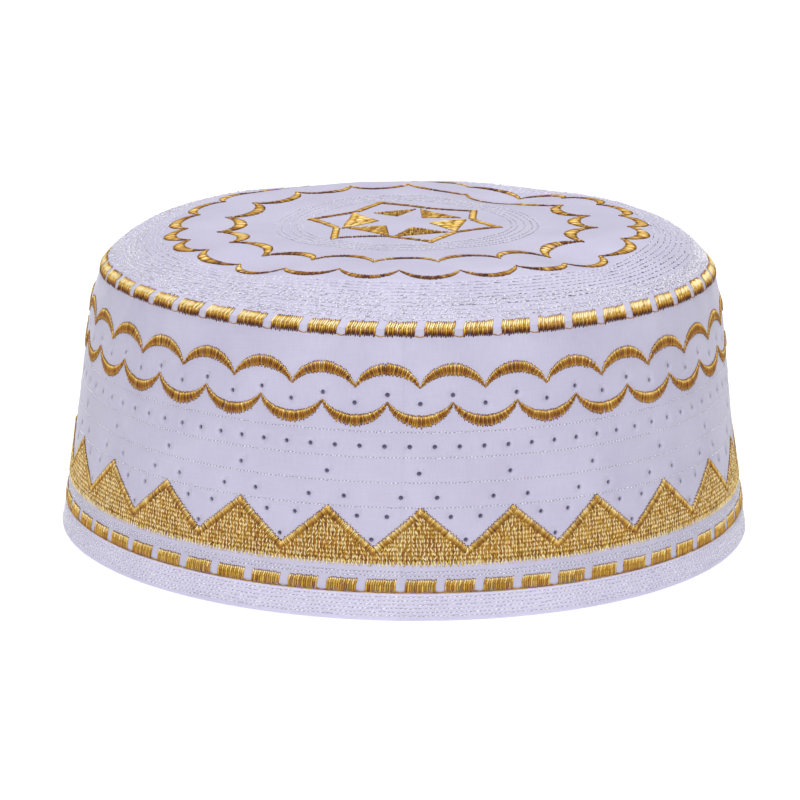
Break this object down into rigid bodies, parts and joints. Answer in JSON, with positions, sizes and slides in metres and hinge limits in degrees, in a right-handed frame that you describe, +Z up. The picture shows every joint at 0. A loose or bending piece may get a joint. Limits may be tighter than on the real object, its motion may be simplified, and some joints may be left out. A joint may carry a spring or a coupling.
{
  "type": "prayer cap",
  "caption": "Round stiff prayer cap of quilted white cotton, open below for the head, with gold thread scallops, dashes, zigzag and a star on its flat crown.",
  "frame": {"origin": "on the floor at the middle of the head opening, in the plane of the hem's lower face", "axes": "+Z up through the middle of the crown, -Y towards the front of the picture, +X to the right in the picture"},
  "size_m": [0.1896, 0.19, 0.0853],
  "materials": {
    "cotton": "quilted white cotton with a faint lilac cast and a soft sheen",
    "gold_thread": "gold rayon embroidery thread in satin stitch, with a bright sheen"
  },
  "bodies": {
    "root": {"hem_band": "cotton", "side_band": "cotton", "crown": "cotton", "upper_dash_ring": "gold_thread", "lower_dash_ring": "gold_thread", "upper_scallop_ring": "gold_thread", "lower_scallop_ring": "gold_thread", "zigzag_band": "gold_thread", "crown_outer_scallop_ring": "gold_thread", "crown_inner_scallop_ring": "gold_thread", "star_outline": "gold_thread", "star_triangle_1": "gold_thread", "star_triangle_2": "gold_thread", "star_triangle_3": "gold_thread", "star_triangle_4": "gold_thread", "star_triangle_5": "gold_thread", "star_triangle_6": "gold_thread"}
  },
  "joints": []
}
